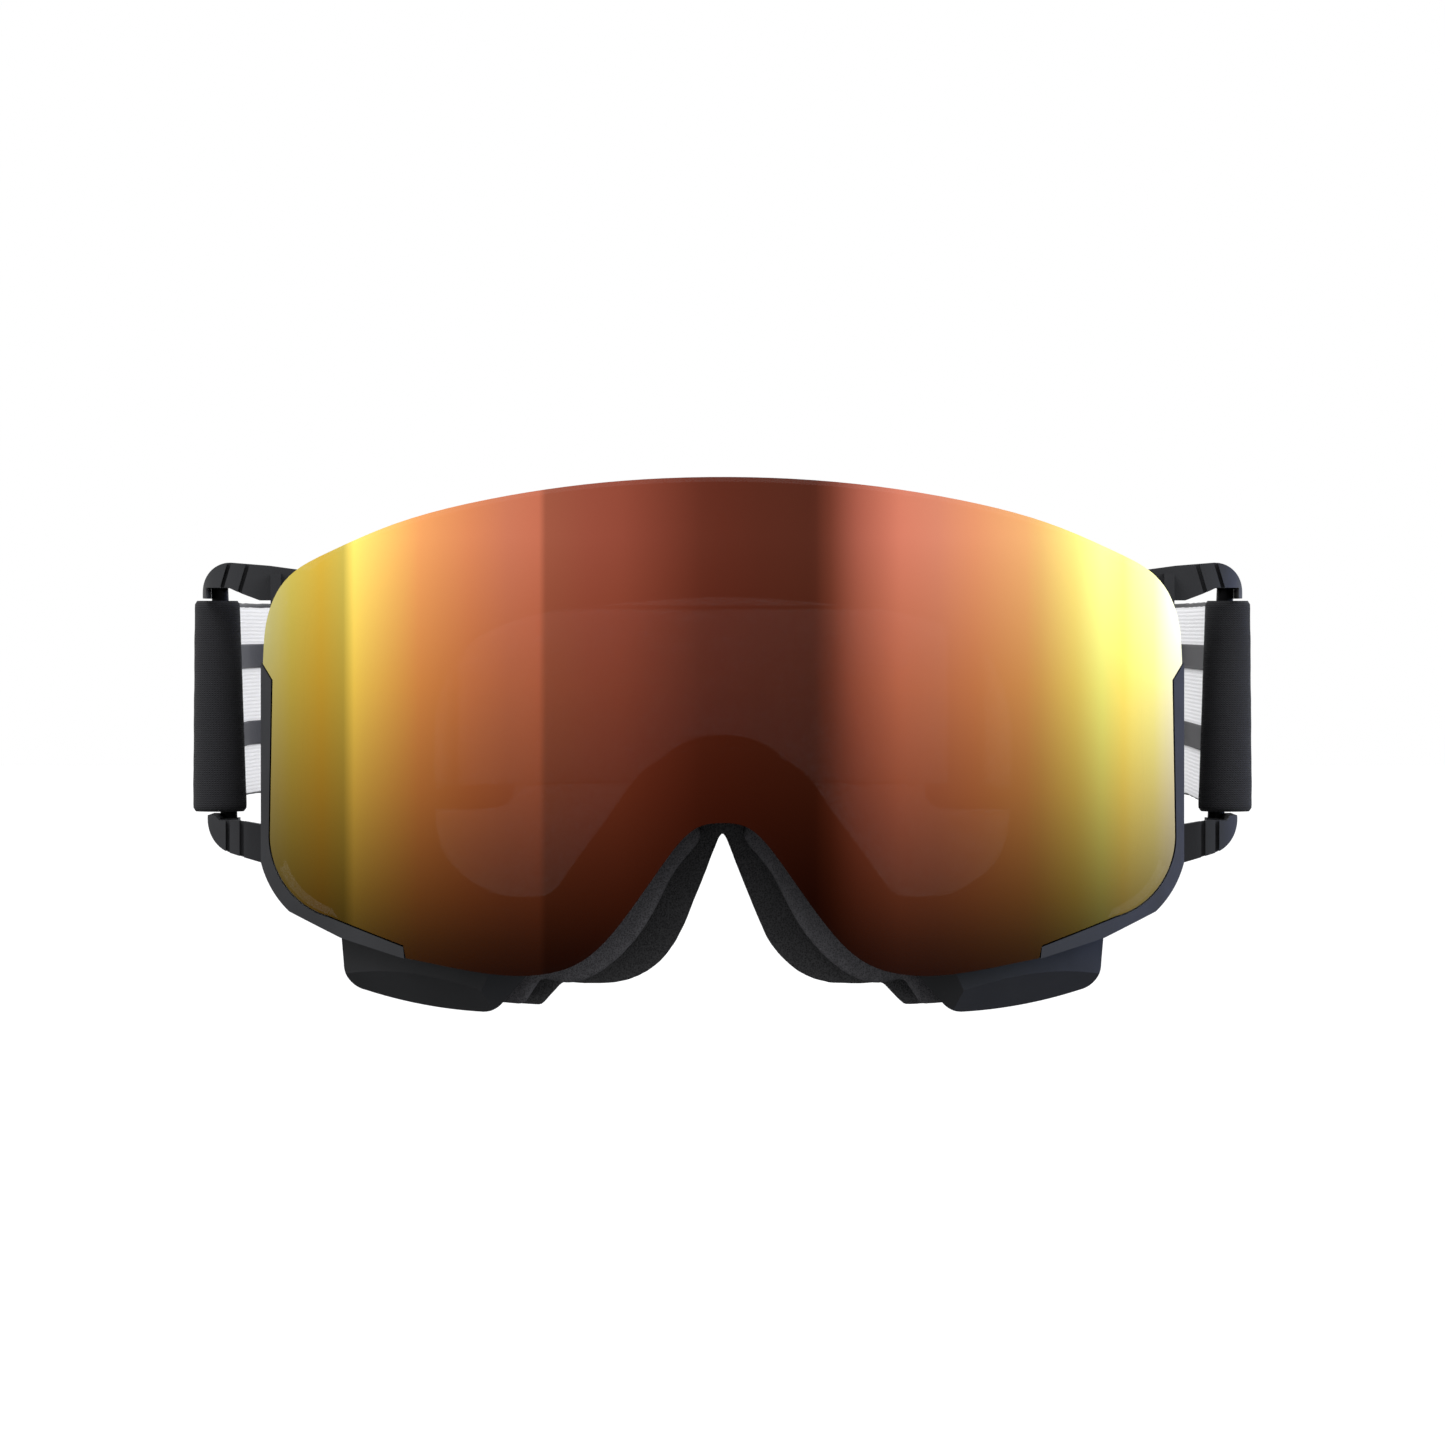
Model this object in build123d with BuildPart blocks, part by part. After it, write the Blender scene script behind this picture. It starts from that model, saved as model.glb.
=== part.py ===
"""Ski goggles: a clip-in double lens, a vented frame, layered face foam, two hinged outriggers
and a two-part elastic head strap with two adjusters.

Millimetres. +Z is up, the lens faces -Y and X = 0 is the plane of symmetry. The origin lies in the
middle of the face opening at the strap's mid-height. The side modelled by hand is the one at +X, which
is the wearer's left, and the other one is its mirror image.
"""

from build123d import *
import os
from math import asin, atan2, cos, degrees, radians, sin

os.makedirs("parts", exist_ok=True)

# ---- Curvature in plan: each surface is an upright cylinder, given as (radius, centre on Y) ----
LENS_RADIUS = 110.0
LENS_CENTRE_Y = 48.0
OUTER_LENS_THICKNESS = 1.2
GASKET_THICKNESS = 2.6
INNER_LENS_THICKNESS = 0.7
FIT_GAP = 0.3
FLANGE_THICKNESS = 2.4
WALL_THICKNESS = 2.2

LENS_FRONT = (LENS_RADIUS, LENS_CENTRE_Y)
GASKET_FRONT = (LENS_RADIUS - OUTER_LENS_THICKNESS, LENS_CENTRE_Y)
GASKET_REAR = (GASKET_FRONT[0] - GASKET_THICKNESS, LENS_CENTRE_Y)
INNER_LENS_REAR = (GASKET_REAR[0] - INNER_LENS_THICKNESS, LENS_CENTRE_Y)
CHASSIS_FRONT = (INNER_LENS_REAR[0] - FIT_GAP, LENS_CENTRE_Y)
FRONT_FLANGE_REAR = (CHASSIS_FRONT[0] - FLANGE_THICKNESS, LENS_CENTRE_Y)
RIM_REAR = (CHASSIS_FRONT[0] - 0.9, LENS_CENTRE_Y)
GUARD_FRONT = (RIM_REAR[0] - 0.1, LENS_CENTRE_Y)
REAR_FLANGE_FRONT = (97.0 + WALL_THICKNESS, 50.0)
CHASSIS_REAR = (97.0, 50.0)
SPACER_REAR = (95.0, 63.0)
FACE_FOAM_REAR = (95.0, 74.8)
FLEECE_REAR = (95.0, 77.0)
PLAN_HALF_WIDTH = 88.0
DEEP = 120.0

# ---- Front outlines, right half, as (x, z) from the top centre round to the nose ----
LENS_TOP = [
    (0, 41.7), (21.0, 40.8), (42.7, 37.8), (60.0, 33.5), (72.8, 28.4),
    (78.9, 25.2), (82.3, 21.6), (84.2, 17.4), (85.3, 8.2),
]
LENS_NOTCH = (83.3, 5.2)
LENS_SIDE_END = (83.9, -23.9)
LENS_CORNER = (80.1, -33.4)
LENS_CORNER_END = (72.1, -37.9)
LENS_STEP = [(57.9, -42.7), (57.4, -45.0)]
LENS_BOTTOM = [
    (57.4, -45.0), (46.3, -46.8), (34.7, -47.5), (25.9, -45.2),
    (18.2, -37.9), (10.5, -27.1), (5.4, -21.3), (0, -19.9),
]
SEAT = [
    (0, 41.7), (21.0, 40.8), (42.7, 37.8), (60.0, 33.5), (72.8, 28.4), (80.0, 22.4), (82.9, 12.0),
    (83.2, -5.0), (83.4, -21.0), (78.5, -33.5), (66.0, -39.5), (50.0, -45.4), (35.0, -47.1),
    (26.0, -45.2), (18.2, -37.9), (10.5, -27.1), (0, -19.9),
]
SPACER_SIDE = [
    (0, 40.2), (21.0, 39.3), (41.0, 36.4), (59.0, 31.4), (71.5, 25.4), (78.0, 16.0), (80.0, -4.0),
    (79.0, -22.0), (72.0, -39.5), (60.0, -50.0), (48.0, -53.2), (36.2, -53.8),
]
SPACER_NOSE = [
    (33.0, -48.9), (27.5, -49.7), (19.4, -45.5), (11.8, -35.3), (6.7, -26.7), (3.9, -21.9), (0, -18.8),
]
FACE_SIDE = [
    (0, 39.4), (20.0, 38.5), (40.0, 35.6), (57.0, 30.4), (69.0, 24.0), (75.2, 14.0), (77.0, -4.0),
    (76.0, -22.0), (69.0, -40.0), (58.0, -50.0), (46.0, -54.0), (33.6, -54.9),
]
FACE_NOSE = [
    (29.4, -50.4), (23.8, -50.8), (19.2, -50.4), (12.6, -47.4), (8.6, -42.7), (4.8, -34.2), (0, -22.0),
]
APERTURE = [
    (0, 20.6), (20.0, 19.3), (38.0, 16.5), (49.5, 10.0), (54.3, -2.0), (54.4, -16.0),
    (52.5, -28.0), (44.0, -34.6), (33.8, -37.2), (25.5, -31.0), (14.4, -15.1), (0, -5.0),
]
STEP_TANGENT = (-1, -0.05)
NOSE_START_TANGENT = (-1, -0.25)
NOSE_V_TANGENT = (-0.38, 1.0)
SPACER_APERTURE_GROWTH = 3.5

# ---- Frame details ----
GASKET_INSET = 0.8
GASKET_WIDTH = 5.2
FRONT_FLANGE_INSETS = (1.8, 11.0)
WALL_INSETS = (6.0, 8.2)
REAR_FLANGE_INSETS = (3.5, 13.0)
VENT_FOAM_INSETS = (8.2, 10.2)
VENT_MID_RADIUS = 100.0
VENT_SLOT_LENGTH = 17.0
VENT_SLOT_WIDTH = 4.0
VENT_ANGLES = (-28.0, -14.0, 0.0, 14.0, 28.0)
VENT_SLOT_HEIGHT = 12.0
VENT_SLOT_DROP = 7.0
VENT_CROWN = 0.0023
VENT_FOAM_FRONT = (VENT_MID_RADIUS + 2.3, LENS_CENTRE_Y)
VENT_FOAM_REAR = (VENT_MID_RADIUS - 2.3, LENS_CENTRE_Y)
VENT_TOP_HALF = 62.0
VENT_SIDE_Z = (-28.0, 27.0)
SIDE_VENT_X = 76.0
SIDE_VENT_Y = -17.5
SIDE_VENT_DEPTH = 6.6
SIDE_VENT_HEIGHT = 13.0
SIDE_VENT_PITCH = 18.0
EAR_X = (77.0, 82.5)
EAR_Y = (-14.0, -5.0)
EAR_Z = (-27.0, 17.4)
TAB_WIDTH = 8.0
TAB_THICKNESS = 1.6
TAB_REACH = 1.5
TAB_ROOT = 3.0
TAB_SLOT_REACH = 15.0
TAB_SPACE_REAR = (95.0, LENS_CENTRE_Y)
TAB_PLACES = [
    ((36.0, 34.6), (TAB_WIDTH, TAB_THICKNESS)),
    ((79.2, 3.0), (TAB_THICKNESS, TAB_WIDTH)),
    ((50.0, -41.3), (TAB_WIDTH, TAB_THICKNESS)),
]

# ---- Cheek guard, right half, from its outer top corner round to the nose side ----
GUARD_OUTLINE = [
    (70.6, -38.0), (69.8, -47.0), (68.6, -50.2), (65.8, -51.8), (55.5, -54.0),
    (43.8, -54.9), (41.7, -54.5), (40.1, -53.4), (33.4, -45.8),
]
GUARD_CREASE = ((67.6, -31.3, -48.5), (43.5, -46.7, -50.9))
GUARD_CREASE_SLOPE = (0, 1.0, -1.2)
GUARD_END_FACET = ((43.2, -46.9, -49.5), (-0.25, -0.92, -0.3))

# ---- Side frame, arms and strap bar, all at +X ----
RIM_TOP = (85.75, 8.4)
RIM_SIDE_END = (85.8, -28.7)
RIM_CORNER = (83.6, -33.5)
RIM_CORNER_END = (80.0, -37.5)
RIM_LOWER = (69.9, -41.8)
RIM_FOOT = (57.7, -45.1)
STRIP_X = (82.5, 84.4)
STRIP_Y = (-15.2, -5.2)
STRIP_Z = (-29.0, 25.0)
ROOT_INSET = 3.0
ARM_THICKNESS = 3.2
ARM_ROOT_X = 76.0
ARM_PLAN_Y = -11.0
ARM_BEND_X = 88.6
ARM_BEND_RADIUS = 8.0
ARM_END_Y = 5.2
GROOVE_WIDTH = 0.8
INNER_GROOVE_UPPER = ((88.5, 28.0), (90.9, 20.0))
OUTER_GROOVE_UPPER = ((92.1, 28.0), (94.6, 20.0))
INNER_GROOVE_LOWER = ((90.1, -19.0), (90.1, -31.0))
OUTER_GROOVE_LOWER = ((92.8, -19.0), (92.8, -31.0))
TONGUE_THICKNESS = 0.9
TONGUE_REACH = 1.2
TONGUE_END_Y = -6.4
UPPER_ARM = [
    (76.0, 25.3), (84.8, 26.5), (92.3, 27.1), (96.7, 25.0), (98.1, 20.4), (97.2, 20.4),
    (97.2, 22.4), (92.6, 22.4), (90.4, 21.4), (84.8, 19.3), (76.0, 16.0),
]
LOWER_ARM = [
    (82.5, -29.9), (86.8, -29.0), (92.5, -27.3), (95.7, -24.9), (96.9, -20.4), (95.3, -20.4),
    (94.7, -21.3), (91.0, -21.2), (86.8, -21.9), (82.5, -22.5),
]
BAR_RADIUS = 1.6
BAR_TOP = (95.6, 3.0, 23.4)
BAR_BOTTOM = (93.8, 3.0, -23.4)
BAR_SOCKET_CLEARANCE = 0.05
BOSS_X = (91.9, 98.2)
BOSS_Y = (0.9, 5.2)
SLEEVE_TOP = ((96.05, 3.0), (4.25, 4.6))
SLEEVE_BOTTOM = ((95.6, 3.0), (5.1, 4.6))

# ---- Strap: 40 mm elastic webbing, its plan route drawn at +X ----
STRAP_WIDTH = 40.0
STRAP_THICKNESS = 2.0
STRAP_START = (96.4, 10.4)
STRAP_SIDE_END = (98.6, 95.6)
STRAP_SIDE_RADIUS = 70.0
STRAP_REAR_ANGLE = 140.0
SLIDER_STATION = 23.0
STRAIGHT_LENGTH = 56.0
LAYER_SHIFT = 1.2
GRIP_THICKNESS = 0.5
GRIP_BANDS = ((6.5, 11.5), (-9.5, -4.5))
GRIP_RUN = (12.0, 125.0)

# ---- Strap adjusters ----
SLIDER_LENGTH = 29.0
SLIDER_HEIGHT = 50.0
SLIDER_PLATE = 2.6
SLIDER_CLEARANCE = 0.4
SLIDER_END_WALL = 4.2
SLIDER_CORNER = 4.0
SLIDER_WINDOW = (7.4, 40.8)
SLIDER_WINDOW_CORNER = 1.5
SLIDER_WINDOW_X = 6.4
KEEPER_WIDTH = 8.0
TAIL_LENGTH = 9.3


def grown(points, distance):
    """A half outline moved outwards by distance, square to its own run."""
    first_mirror = (-points[1][0], points[1][1])
    last_mirror = (-points[-2][0], points[-2][1])
    ring = [first_mirror, *points, last_mirror]
    moved = []
    for before, here, after in zip(ring, points, ring[2:]):
        run = (Vector(*after) - Vector(*before)).normalized()
        moved.append((here[0] - run.Y * distance, here[1] + run.X * distance))
    return moved


def smooth(points):
    """A half outline that is one spline, level at the top centre and at the nose."""
    return [(points, [(1, 0), (-1, 0)])]


def stepped(side, nose, nose_tangent):
    """A half outline of two splines with a slanted step between them under the cheek."""
    return [
        (side, [(1, 0), STEP_TANGENT]),
        ([side[-1], nose[0]], None),
        (nose, [NOSE_START_TANGENT, nose_tangent]),
    ]


def ring_face(runs, mode=Mode.ADD):
    """The face inside a half outline and its mirror image. A run without tangents is straight."""
    with BuildLine() as outline:
        for points, tangents in runs:
            if tangents:
                Spline(*points, tangents=tangents)
            else:
                Polyline(*points)
        mirror(about=Plane.YZ)
    make_face(outline.edges(), mode=mode)


def plan_arc(surface, half_width):
    """The trace in plan of an upright cylinder between -half_width and half_width."""
    radius, centre_y = surface
    edge_y = centre_y - radius * cos(asin(half_width / radius))
    return ThreePointArc((-half_width, edge_y), (0, centre_y - radius), (half_width, edge_y))


def keep_between(front, rear, mode=Mode.INTERSECT):
    """Keep only what lies between two upright cylinders."""
    with BuildSketch(Plane.XY.offset(-DEEP / 2)) as band:
        with BuildLine():
            front_arc = plan_arc(front, PLAN_HALF_WIDTH)
            rear_arc = plan_arc(rear, PLAN_HALF_WIDTH)
            Line(front_arc @ 0, rear_arc @ 0)
            Line(front_arc @ 1, rear_arc @ 1)
        make_face()
    extrude(band.sketch, amount=DEEP, mode=mode)


def lens_outline(mode=Mode.ADD):
    """The face inside the outer lens's true outline."""
    with BuildLine() as outline:
        Spline(*LENS_TOP, tangents=[(1, 0), (0.05, -1)])
        Line(LENS_TOP[-1], LENS_NOTCH)
        Line(LENS_NOTCH, LENS_SIDE_END)
        ThreePointArc(LENS_SIDE_END, LENS_CORNER, LENS_CORNER_END)
        Line(LENS_CORNER_END, LENS_STEP[0])
        Line(*LENS_STEP)
        Spline(*LENS_BOTTOM, tangents=[(-1, -0.15), (-1, 0)])
        mirror(about=Plane.YZ)
    make_face(outline.edges(), mode=mode)


def ring_solid(outer, inner, front, rear):
    """A ring between two half outlines, bounded front and rear by upright cylinders."""
    with BuildPart() as ring:
        with BuildSketch(Plane.XZ) as profile:
            ring_face(outer)
            ring_face(inner, mode=Mode.SUBTRACT)
        extrude(profile.sketch, amount=DEEP, both=True)
        keep_between(front, rear)
    return ring.part


def inset_ring(insets, front, rear):
    """A ring given by how far its two edges lie inside the lens seat."""
    return ring_solid(smooth(grown(SEAT, -insets[0])), smooth(grown(SEAT, -insets[1])), front, rear)


def box_between(x_range, y_range, z_range, mode=Mode.ADD):
    """A box given by its low and high corner along each axis."""
    size = [high - low for low, high in (x_range, y_range, z_range)]
    middle = [(high + low) / 2 for low, high in (x_range, y_range, z_range)]
    with Locations(tuple(middle)):
        Box(*size, mode=mode)


def clear_of_lens(point, x_way, z_way):
    """A point of the lens outline moved off the lens by the fit gap."""
    return (point[0] + x_way * FIT_GAP, point[1] + z_way * FIT_GAP)


def lens_tab_boxes(clearance, reach, mode):
    """Every tab, or with clearance the slot it needs, on both sides."""
    for (x, z), (width, height) in TAB_PLACES:
        surface_y = LENS_CENTRE_Y - INNER_LENS_REAR[0] * cos(asin(x / INNER_LENS_REAR[0]))
        rear_y = LENS_CENTRE_Y - FRONT_FLANGE_REAR[0] * cos(asin(x / FRONT_FLANGE_REAR[0])) + reach
        for side in (1, -1):
            box_between(
                sorted((side * (x - width / 2 - clearance), side * (x + width / 2 + clearance))),
                (surface_y - TAB_ROOT, rear_y),
                (z - height / 2 - clearance, z + height / 2 + clearance),
                mode,
            )


def arm_band(thickness):
    """The arms' common plan shape, an L with a round bend, as a tall solid."""
    near = ARM_BEND_RADIUS - thickness / 2
    far = ARM_BEND_RADIUS + thickness / 2
    centre = (ARM_BEND_X, ARM_PLAN_Y + ARM_BEND_RADIUS)
    with BuildPart() as band:
        with BuildSketch(Plane.XY.offset(-DEEP / 2)) as plan:
            with BuildLine():
                outer = CenterArc(centre, far, -90, 90)
                inner = CenterArc(centre, near, -90, 90)
                Line((ARM_ROOT_X, (outer @ 0).Y), outer @ 0)
                Line((ARM_ROOT_X, (inner @ 0).Y), inner @ 0)
                Line((ARM_ROOT_X, (outer @ 0).Y), (ARM_ROOT_X, (inner @ 0).Y))
                Line(outer @ 1, ((outer @ 1).X, ARM_END_Y))
                Line(inner @ 1, ((inner @ 1).X, ARM_END_Y))
                Line(((outer @ 1).X, ARM_END_Y), ((inner @ 1).X, ARM_END_Y))
            make_face()
        extrude(plan.sketch, amount=DEEP)
    return band.part


def arm_silhouettes():
    """Both arms seen from the front, as one tall solid."""
    with BuildPart() as arms:
        with BuildSketch(Plane.XZ) as front:
            with BuildLine() as upper:
                Polyline(UPPER_ARM[-1], *UPPER_ARM[:3])
                ThreePointArc(*UPPER_ARM[2:5])
                Polyline(*UPPER_ARM[4:])
            make_face(upper.edges())
            with BuildLine() as lower:
                Polyline(LOWER_ARM[-1], *LOWER_ARM[:3])
                ThreePointArc(*LOWER_ARM[2:5])
                Polyline(*LOWER_ARM[4:])
            make_face(lower.edges())
        extrude(front.sketch, amount=DEEP, both=True)
    return arms.part


def groove_cell(left_lines, right_lines, margin):
    """The space between two pairs of groove lines, one pair for each arm."""
    with BuildPart() as cell:
        with BuildSketch(Plane.XZ) as front:
            for left, right in zip(left_lines, right_lines):
                with BuildLine() as outline:
                    Polyline(
                        (left[0][0] + margin, left[0][1]),
                        (right[0][0] - margin, right[0][1]),
                        (right[1][0] - margin, right[1][1]),
                        (left[1][0] + margin, left[1][1]),
                        close=True,
                    )
                make_face(outline.edges())
        extrude(front.sketch, amount=DEEP, both=True)
    return cell.part


def strap_band(shift, thickness, height):
    """One strap part from its sleeve, round the back, to the other side's straight stretch."""
    start = Vector(*STRAP_START) + Vector(shift, 0)
    side_end = Vector(*STRAP_SIDE_END) + Vector(shift, 0)
    heading = degrees(atan2(side_end.Y - start.Y, side_end.X - start.X))
    edges = []
    with BuildPart() as band:
        with BuildSketch(Plane.XY.offset(-height / 2)) as plan:
            with BuildLine():
                for offset in (thickness / 2, -thickness / 2):
                    across = Vector(offset, 0)
                    side = Line(start + across, side_end + across)
                    bend = JernArc(
                        side @ 1, side % 1, STRAP_SIDE_RADIUS + shift + offset, STRAP_REAR_ANGLE - heading
                    )
                    straight = Line(bend @ 1, (bend @ 1) + (bend % 1) * STRAIGHT_LENGTH)
                    rear_radius = (straight @ 1).X / sin(radians(180 - STRAP_REAR_ANGLE))
                    rear = JernArc(straight @ 1, straight % 1, rear_radius, 2 * (180 - STRAP_REAR_ANGLE))
                    edges.append((side, rear))
                Line(edges[0][0] @ 0, edges[1][0] @ 0)
                Line(edges[0][1] @ 1, edges[1][1] @ 1)
            make_face()
        extrude(plan.sketch, amount=height)
    return band.part


def slider_plane():
    """The adjuster's plane at +X: x runs back along the strap, y is up, z points away from the head."""
    start = Vector(*STRAP_START)
    side_end = Vector(*STRAP_SIDE_END)
    heading = degrees(atan2(side_end.Y - start.Y, side_end.X - start.X))
    bend_centre = side_end + Vector(-1, 0).rotate(Axis.Z, heading - 90) * STRAP_SIDE_RADIUS
    straight_start = bend_centre + Vector(1, 0).rotate(Axis.Z, STRAP_REAR_ANGLE - 90) * STRAP_SIDE_RADIUS
    along = Vector(1, 0).rotate(Axis.Z, STRAP_REAR_ANGLE)
    outward = Vector(1, 0).rotate(Axis.Z, STRAP_REAR_ANGLE - 90)
    return Plane(straight_start + along * SLIDER_STATION, x_dir=along, z_dir=outward)


def slider_solid(shift):
    """An adjuster round a strap that lies shift outside the strap's middle plane."""
    half = STRAP_THICKNESS / 2 + SLIDER_CLEARANCE
    plane = slider_plane()
    with BuildPart() as slider:
        with BuildSketch(plane.offset(shift + half)) as plate:
            RectangleRounded(SLIDER_LENGTH, SLIDER_HEIGHT, SLIDER_CORNER)
            with Locations((SLIDER_WINDOW_X, 0), (-SLIDER_WINDOW_X, 0)):
                RectangleRounded(*SLIDER_WINDOW, SLIDER_WINDOW_CORNER, mode=Mode.SUBTRACT)
        extrude(plate.sketch, amount=SLIDER_PLATE)
        with BuildSketch(plane.offset(shift - half - SLIDER_PLATE)) as keeper:
            RectangleRounded(KEEPER_WIDTH, SLIDER_HEIGHT, SLIDER_WINDOW_CORNER)
        extrude(keeper.sketch, amount=SLIDER_PLATE)
        with BuildSketch(plane.offset(shift - half)) as ends:
            for way in (1, -1):
                with Locations((0, way * (SLIDER_HEIGHT - SLIDER_END_WALL) / 2)):
                    RectangleRounded(KEEPER_WIDTH, SLIDER_END_WALL, SLIDER_WINDOW_CORNER)
        extrude(ends.sketch, amount=2 * half)
    return slider.part


def tail_solid(shift):
    """The sewn end of the other strap part, behind the adjuster's rear edge."""
    with BuildPart() as tail:
        with BuildSketch(slider_plane().offset(shift - STRAP_THICKNESS / 2)) as flat:
            with Locations((SLIDER_LENGTH / 2 + TAIL_LENGTH / 2 + SLIDER_CLEARANCE / 2, 0)):
                Rectangle(TAIL_LENGTH, STRAP_WIDTH)
        extrude(flat.sketch, amount=STRAP_THICKNESS)
    return tail.part


def vent_place(angle):
    """Where a top vent cuts the wall, with its turn about Z."""
    x = VENT_MID_RADIUS * sin(radians(angle))
    y = LENS_CENTRE_Y - VENT_MID_RADIUS * cos(radians(angle))
    top_z = LENS_TOP[0][1] - VENT_SLOT_DROP - VENT_CROWN * x * x
    return Location((x, y, top_z), (0, 0, angle))


def finish(part, label):
    """Name a finished piece and write it."""
    part.label = label
    export_step(part, f"parts/{label}.step")


def finish_pair(part, label):
    """Write a piece of the +X side as _left, and its mirror image as _right."""
    finish(part, f"{label}_left")
    finish(mirror(part, about=Plane.YZ), f"{label}_right")


# ==== Lens unit ====
with BuildPart() as outer_lens:
    with BuildSketch(Plane.XZ):
        lens_outline()
    extrude(amount=DEEP, both=True)
    keep_between(LENS_FRONT, GASKET_FRONT)
finish(outer_lens.part, "outer_lens")

gasket_insets = (GASKET_INSET, GASKET_INSET + GASKET_WIDTH)
finish(inset_ring(gasket_insets, GASKET_FRONT, GASKET_REAR), "lens_gasket")

with BuildPart() as inner_lens:
    with BuildSketch(Plane.XZ):
        ring_face(smooth(grown(SEAT, -GASKET_INSET)))
    extrude(amount=DEEP, both=True)
    keep_between(GASKET_REAR, INNER_LENS_REAR)
finish(inner_lens.part, "inner_lens")

with BuildPart() as lens_tabs:
    lens_tab_boxes(0, TAB_REACH, Mode.ADD)
    keep_between(INNER_LENS_REAR, TAB_SPACE_REAR)
finish(lens_tabs.part, "lens_tabs")

# ==== Frame ====
front_flange = inset_ring(FRONT_FLANGE_INSETS, CHASSIS_FRONT, FRONT_FLANGE_REAR)
wall = inset_ring(WALL_INSETS, CHASSIS_FRONT, CHASSIS_REAR)
rear_flange = inset_ring(REAR_FLANGE_INSETS, REAR_FLANGE_FRONT, CHASSIS_REAR)

with BuildPart() as ears:
    for side in (1, -1):
        box_between(sorted((side * EAR_X[0], side * EAR_X[1])), EAR_Y, EAR_Z)
    keep_between(FRONT_FLANGE_REAR, CHASSIS_REAR)

with BuildPart() as frame_chassis:
    add(front_flange)
    add(wall)
    add(rear_flange)
    add(ears.part)
    for side in (1, -1):
        for step in (-1, 0, 1):
            with Locations((side * SIDE_VENT_X, SIDE_VENT_Y, step * SIDE_VENT_PITCH)):
                Box(SIDE_VENT_DEPTH, VENT_SLOT_WIDTH, SIDE_VENT_HEIGHT, mode=Mode.SUBTRACT)
    for angle in VENT_ANGLES:
        with Locations(vent_place(angle)):
            Box(VENT_SLOT_LENGTH, VENT_SLOT_WIDTH, VENT_SLOT_HEIGHT, mode=Mode.SUBTRACT)
    lens_tab_boxes(FIT_GAP, TAB_SLOT_REACH, Mode.SUBTRACT)
finish(frame_chassis.part, "frame_chassis")

vent_strip = inset_ring(VENT_FOAM_INSETS, VENT_FOAM_FRONT, VENT_FOAM_REAR)
with BuildPart() as vent_foam_top:
    add(vent_strip)
    box_between((-VENT_TOP_HALF, VENT_TOP_HALF), (-DEEP, DEEP), (0, DEEP), Mode.INTERSECT)
finish(vent_foam_top.part, "vent_foam_top")

side_strip = inset_ring(VENT_FOAM_INSETS, FRONT_FLANGE_REAR, REAR_FLANGE_FRONT)
with BuildPart() as vent_foam:
    add(side_strip)
    box_between((VENT_TOP_HALF, DEEP), (-DEEP, DEEP), VENT_SIDE_Z, Mode.INTERSECT)
finish_pair(vent_foam.part, "vent_foam")

# ==== Face foam ====
spacer_outer = stepped(SPACER_SIDE, SPACER_NOSE, (-1, 0))
face_outer = stepped(FACE_SIDE, FACE_NOSE, NOSE_V_TANGENT)
spacer_inner = smooth(grown(APERTURE, SPACER_APERTURE_GROWTH))
face_inner = smooth(APERTURE)
finish(ring_solid(spacer_outer, spacer_inner, CHASSIS_REAR, SPACER_REAR), "foam_spacer")
finish(ring_solid(face_outer, face_inner, SPACER_REAR, FACE_FOAM_REAR), "foam_face")
finish(ring_solid(face_outer, face_inner, FACE_FOAM_REAR, FLEECE_REAR), "fleece_lining")

# ==== Cheek guard ====
with BuildPart() as cheek_guard:
    with BuildSketch(Plane.XZ):
        with BuildLine():
            Polyline(GUARD_OUTLINE[-1], *GUARD_OUTLINE[:2])
            ThreePointArc(*GUARD_OUTLINE[1:4])
            ThreePointArc(*GUARD_OUTLINE[3:6])
            ThreePointArc(*GUARD_OUTLINE[5:8])
            Line(*GUARD_OUTLINE[7:])
        make_face()
        ring_face(smooth(grown(SEAT, -FRONT_FLANGE_INSETS[0])), mode=Mode.SUBTRACT)
    extrude(amount=DEEP, both=True)
    keep_between(GUARD_FRONT, CHASSIS_REAR)
    crease_run = Vector(*GUARD_CREASE[1]) - Vector(*GUARD_CREASE[0])
    lower_facet = crease_run.cross(Vector(*GUARD_CREASE_SLOPE))
    split(bisect_by=Plane(GUARD_CREASE[0], z_dir=lower_facet), keep=Keep.BOTTOM)
    split(bisect_by=Plane(GUARD_END_FACET[0], z_dir=GUARD_END_FACET[1]), keep=Keep.BOTTOM)
finish_pair(cheek_guard.part, "cheek_guard")

# ==== Side frame: the rim round the lens's lower corner and the roots of both arms ====
arm_shapes = arm_silhouettes()
arm_plan = arm_band(ARM_THICKNESS)
groove_half = GROOVE_WIDTH / 2
inner_grooves = (INNER_GROOVE_UPPER, INNER_GROOVE_LOWER)
outer_grooves = (OUTER_GROOVE_UPPER, OUTER_GROOVE_LOWER)
near_limits = tuple([(0, top[1]), (0, low[1])] for top, low in inner_grooves)
far_limits = tuple([(DEEP, top[1]), (DEEP, low[1])] for top, low in inner_grooves)
root_cell = groove_cell(near_limits, inner_grooves, groove_half)
link_cell = groove_cell(inner_grooves, outer_grooves, groove_half)
bracket_cell = groove_cell(outer_grooves, far_limits, groove_half)
tongue_cell = groove_cell(inner_grooves, outer_grooves, -TONGUE_REACH)
pocket_cell = groove_cell(inner_grooves, outer_grooves, -TONGUE_REACH - FIT_GAP)
tongue_band = arm_band(TONGUE_THICKNESS)
pocket_band = arm_band(TONGUE_THICKNESS + 2 * FIT_GAP)

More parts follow.
